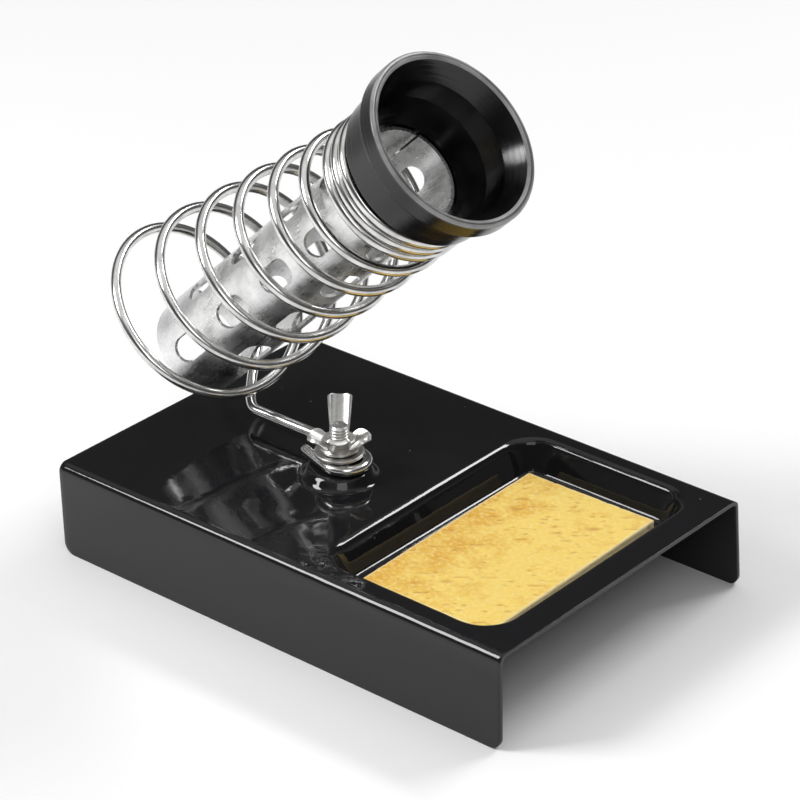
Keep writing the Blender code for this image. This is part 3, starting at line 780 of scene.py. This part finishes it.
def build_collar(material):
    """The lip attribute is 1 on the rounded edges of the mouth, and 0.4 on the face between them:
    rubbed paint, with a painted highlight on the edges.
    """
    segments, step = 160, 0.0005
    line = rounded(
        [(r, -d) for r, d, _ in COLLAR_SECTION], [c[2] for c in COLLAR_SECTION], closed=True)
    fine = []
    for a, b in zip(line, line[1:] + line[:1]):
        count = max(1, round((b - a).length / step))
        fine += [a.lerp(b, i / count) for i in range(count)]
    collar = lathe("collar_turned", fine, segments, closed=True)
    depth = -np.repeat([point.y for point in fine], segments)
    radius = np.repeat([point.x for point in fine], segments)
    lip = np.clip(1.0 - (depth - 0.00045) / 0.0002, 0.0, 1.0) * (radius > 0.0199)
    # Painted highlight: the lip's rounded edges get the full pale mix, the face between gets 0.4
    lip *= np.where((radius > 0.0213) | (radius < 0.0207), 1.0, 0.4)
    layer = collar.data.attributes.new("lip", "FLOAT", "POINT")
    layer.data.foreach_set("value", lip.astype(np.float32))
    collar.data.shade_smooth()
    collar.data.set_sharp_from_angle(angle=math.radians(40.0))
    collar.data.transform(holder_matrix())
    return settle(collar, "collar", "holder", material)


# --- clamp ----------------------------------------------------------------

def tab(name, heading, reach, rise, widths, cup, low, corner):
    """A pressed tab that leans out from the hub, its sides curled in towards the bolt.

    reach, widths and cup are pairs, at its foot and at its tip. low is its foot's height.
    """
    foot = Vector((reach[0], 0.0, low))
    lean = Vector((reach[1] - reach[0], 0.0, rise))
    length = lean.length
    lean.normalize()
    across = Vector((0.0, 1.0, 0.0))
    inward = -across.cross(lean)
    steps = [i / 10 * (length - corner) for i in range(11)]
    steps += [length - corner + corner * math.sin(math.radians(15 * i)) for i in range(1, 6)]
    steps.append(length)
    verts, columns = [], 17
    for b in steps:
        share = b / length
        half = (widths[0] + (widths[1] - widths[0]) * share) / 2
        over = max(b - (length - corner), 0.0)
        half -= corner - math.sqrt(max(corner**2 - over**2, 0.0))
        for i in range(columns):
            u = -1.0 + 2.0 * i / (columns - 1)
            across_share = half * abs(u) / (widths[1] / 2)
            curl = (cup[0] + (cup[1] - cup[0]) * share) * across_share ** 2.4
            verts.append(foot + across * (half * u) + lean * b + inward * curl)
    piece = add_mesh(name, verts, quads(len(steps), columns))
    add_modifier(piece, "SOLIDIFY", thickness=NUT_SHEET, offset=0.0)
    add_modifier(
        piece, "BEVEL", width=0.00022, segments=2, limit_method="ANGLE",
        angle_limit=EDGE_ANGLE)
    bake(piece)
    piece.data.transform(Matrix.Rotation(heading, 4, "Z"))
    return piece


def build_nut(material):
    line = rounded([c[:2] for c in HUB_SECTION], [c[2] for c in HUB_SECTION])
    pieces = [lathe("hub", line, 64, closed=True)]
    for name, offset, shape in (
        ("wing_near", 0.0, WING), ("wing_far", 180.0, WING),
        ("ear_right", 90.0, EAR), ("ear_left", -90.0, EAR),
    ):
        pieces.append(tab(name, WING_HEADING + math.radians(offset), **shape))
    nut = join("wing_nut_pressed", pieces)
    nut.data.transform(Matrix.Translation((BOLT.x, BOLT.y, NUT_LOW.z)))
    return settle(nut, "wing_nut", "clamp_nut", material)


def build_washer(material):
    thick = WASHER_HIGH.z - WASHER_LOW.z
    outer = (WASHER_HIGH.x - WASHER_LOW.x) / 2
    corners = [(outer, 0.0), (outer, thick), (BOLT_HOLE, thick), (BOLT_HOLE, 0.0)]
    line = rounded(corners, [0.00022, 0.00030, 0.0001, 0.0001], closed=True)
    washer = lathe("washer_pressed", line, 72, closed=True)
    washer.data.shade_smooth()
    washer.data.set_sharp_from_angle(angle=math.radians(40.0))
    washer.data.transform(Matrix.Translation((BOLT.x, BOLT.y, WASHER_LOW.z)))
    return settle(washer, "flat_washer", "clamp_washer", material)


def build_bolt(material):
    """A pan-head screw: the thread is one helical surface from under the head to the tip."""
    sides, rings_a_turn = 36, 12
    seat = TOP + BOSS_HEIGHT - SHEET - CLEARANCE
    tip = BOLT_HIGH.z
    rings = int((tip - seat) / (THREAD_PITCH / rings_a_turn)) + 1
    verts = []
    for i in range(rings + 1):
        z = seat + (tip - seat) * i / rings
        for k in range(sides):
            a = 2 * math.pi * k / sides
            phase = ((z - seat) / THREAD_PITCH - a / (2 * math.pi)) % 1.0
            tooth = min(1.0, max(0.0, 1.35 - 2.7 * abs(phase - 0.5)))
            r = THREAD_ROOT + (THREAD_CREST - THREAD_ROOT) * tooth
            r = min(r, THREAD_CREST - TIP_CHAMFER + max(tip - z, 0.0))
            verts.append((BOLT.x + r * math.cos(a), BOLT.y + r * math.sin(a), z))
    faces = quads(rings + 1, sides, wrap=True)
    faces += [tuple(reversed(range(sides))), tuple(range(rings * sides, (rings + 1) * sides))]
    thread = add_mesh("thread", verts, faces)
    height = seat - BOLT_LOW.z
    corners = [
        (0.0022, 0.0, 0), (HEAD_RADIUS, 0.0, 0.0002), (HEAD_RADIUS, -height * 0.35, 0.0008),
        (0.0036, -height, 0.0010), (0.0014, -height, 0.0001), (0.0012, -height * 0.5, 0),
    ]
    line = rounded([(r, seat + z) for r, z, _ in corners], [c[2] for c in corners])
    head = lathe("head", line, 56, Matrix.Translation((BOLT.x, BOLT.y, 0.0)))
    bolt = join("clamp_screw", [thread, head])
    return settle(bolt, "clamp_bolt", "base", material)


# --- sponge ---------------------------------------------------------------

def build_sponge(material):
    """A cut slab of sponge: a fine closed skin, dented by its pores."""
    size, layers = SPONGE_SIZE, SPONGE_LAYERS
    nx, ny = round(size[0] / SPONGE_CELL), round(size[1] / SPONGE_CELL)
    key, verts = {}, []

    def vertex(i, j, k):
        if (i, j, k) not in key:
            key[(i, j, k)] = len(verts)
            verts.append(((i / nx - 0.5) * size[0], (j / ny - 0.5) * size[1],
                          (k / layers - 0.5) * size[2]))
        return key[(i, j, k)]

    faces = []
    for i in range(nx):
        for j in range(ny):
            for k, order in ((layers, 1), (0, -1)):
                loop = [vertex(i, j, k), vertex(i + 1, j, k),
                        vertex(i + 1, j + 1, k), vertex(i, j + 1, k)]
                faces.append(loop[::order])
    for k in range(layers):
        for i in range(nx):
            for j, order in ((0, 1), (ny, -1)):
                loop = [vertex(i, j, k), vertex(i + 1, j, k),
                        vertex(i + 1, j, k + 1), vertex(i, j, k + 1)]
                faces.append(loop[::order])
        for j in range(ny):
            for i, order in ((0, -1), (nx, 1)):
                loop = [vertex(i, j, k), vertex(i, j + 1, k),
                        vertex(i, j + 1, k + 1), vertex(i, j, k + 1)]
                faces.append(loop[::order])

    p = np.array(verts)
    half = np.array(size) / 2
    core = np.clip(p, -(half - SPONGE_FILLET), half - SPONGE_FILLET)
    away = p - core
    reach = np.linalg.norm(away, axis=1, keepdims=True)
    largest = np.abs(away).max(axis=1, keepdims=True)
    p = core + np.where(reach > 1e-9, away * (largest / np.maximum(reach, 1e-9)), 0.0)
    normal = away / np.maximum(np.linalg.norm(away, axis=1, keepdims=True), 1e-9)

    # The pore mask only darkens the pores' colour, as painted shade
    pore_shade = np.zeros(len(p))
    lift = np.zeros(len(p))
    streak = Matrix.Rotation(FIBRE_TURN, 3, "Z")
    for i, point in enumerate(p):
        q = streak @ Vector(point)
        long_q = Vector((q.x * 0.42, q.y, q.z * 0.8))
        near, _ = noise.voronoi(long_q * 640.0 + Vector((noise.noise(q * 300.0), 0.0, 0.0)))
        wide, _ = noise.voronoi(long_q * 230.0 + Vector((5.0, 9.0, 0.0)))
        small = max(0.0, 1.0 - near[0] / 0.33) * (noise.noise(q * 160.0) > -0.12)
        large = max(0.0, 1.0 - wide[0] / 0.24) * (noise.noise(q * 90.0 + Vector((4, 0, 0))) > -0.10)
        pore_shade[i] = min(1.0, 0.9 * small + large)
        lift[i] = (
            noise.noise(q * 420.0) * 0.00007 + noise.noise(q * 60.0) * 0.00012
            - 0.00022 * small - 0.00036 * large)
    lift = np.where(p[:, 2] > 0.0, lift, np.where(p[:, 2] < -half[2] + 0.0007, 0.0, lift * 0.6))
    lift -= 0.0001
    p = p + normal * lift[:, None]
    inset = np.minimum(half[0] - np.abs(p[:, 0]), half[1] - np.abs(p[:, 1]))
    # Edge mask: pales the top's rim and the side faces, partly as painted light over their shade
    edge = np.clip(1.0 - inset / 0.0011, 0.0, 1.0) * 0.75
    across, along = p[:, 0] / size[0] + 0.5, p[:, 1] / size[1] + 0.5
    stain = np.clip(1.0 - 1.5 * across - 0.3 * along, 0.0, 0.9)
    sponge = add_mesh("sponge_pad_cut", p, faces, {"pore_shade": pore_shade, "edge": edge, "stain": stain})
    sponge.data.shade_smooth()
    sponge.data.transform(
        Matrix.Translation((SPONGE_LOW + SPONGE_HIGH) / 2) @ Matrix.Rotation(SPONGE_TURN, 4, "Z"))
    settle(sponge, "sponge", "sponge_pad", material)
    return sponge


# --- studio ---------------------------------------------------------------

def area_light(name, towards, distance, size, radiance):
    """A soft box that faces the object from this direction."""
    towards = Vector(towards).normalized()
    light = bpy.data.lights.new(name, "AREA")
    light.shape = "RECTANGLE"
    light.size, light.size_y = size
    light.energy = radiance * math.pi * size[0] * size[1]
    obj = bpy.data.objects.new(name, light)
    bpy.context.scene.collection.objects.link(obj)
    obj.location = LIGHT_AIM + towards * distance
    obj.rotation_mode = "QUATERNION"
    obj.rotation_quaternion = towards.to_track_quat("Z", "Y")
    obj.visible_camera = False
    return obj


def build_studio():
    scene = bpy.context.scene
    corners = [(x * FLOOR_HALF, y * FLOOR_HALF, 0) for x, y in ((-1, -1), (1, -1), (1, 1), (-1, 1))]
    floor = add_mesh("studio_floor", corners, [(0, 1, 2, 3)])
    floor.data.materials.append(pale_floor())

    world = bpy.data.worlds.new("studio")
    world.use_nodes = True
    tree = world.node_tree
    direction = tree.nodes.new("ShaderNodeTexCoord")
    parts = tree.nodes.new("ShaderNodeSeparateXYZ")
    ramp_node = tree.nodes.new("ShaderNodeValToRGB")
    tree.links.new(direction.outputs["Generated"], parts.inputs[0])
    tree.links.new(parts.outputs["Z"], ramp_node.inputs[0])
    tree.links.new(ramp_node.outputs[0], tree.nodes["Background"].inputs[0])
    marks = ramp_node.color_ramp.elements
    for position, _ in WORLD_LEVELS[1:-1]:
        marks.new(position)
    for mark, (_, level) in zip(sorted(marks, key=lambda m: m.position), WORLD_LEVELS):
        mark.color = (level, level, level, 1.0)
    scene.world = world

    for light in LIGHTS:
        area_light(*light)

    data = bpy.data.cameras.new("camera")
    data.lens = LENS
    data.sensor_width = 36.0
    data.clip_start, data.clip_end = 0.01, 20.0
    camera = bpy.data.objects.new("camera", data)
    scene.collection.objects.link(camera)
    camera.location = EYE
    camera.rotation_mode = "QUATERNION"
    camera.rotation_quaternion = SIGHT.to_track_quat("-Z", "Y")
    scene.camera = camera
    scene.view_settings.view_transform = "Standard"
    scene.view_settings.look = "None"


def main():
    hardware = zinc_hardware()
    build_base(black_enamel())
    build_wire(bright_plate())
    build_tube(mottled_zinc())
    build_collar(turned_black())
    build_washer(hardware)
    build_nut(hardware)
    build_bolt(hardware)
    build_sponge(cellulose())
    build_studio()


main()
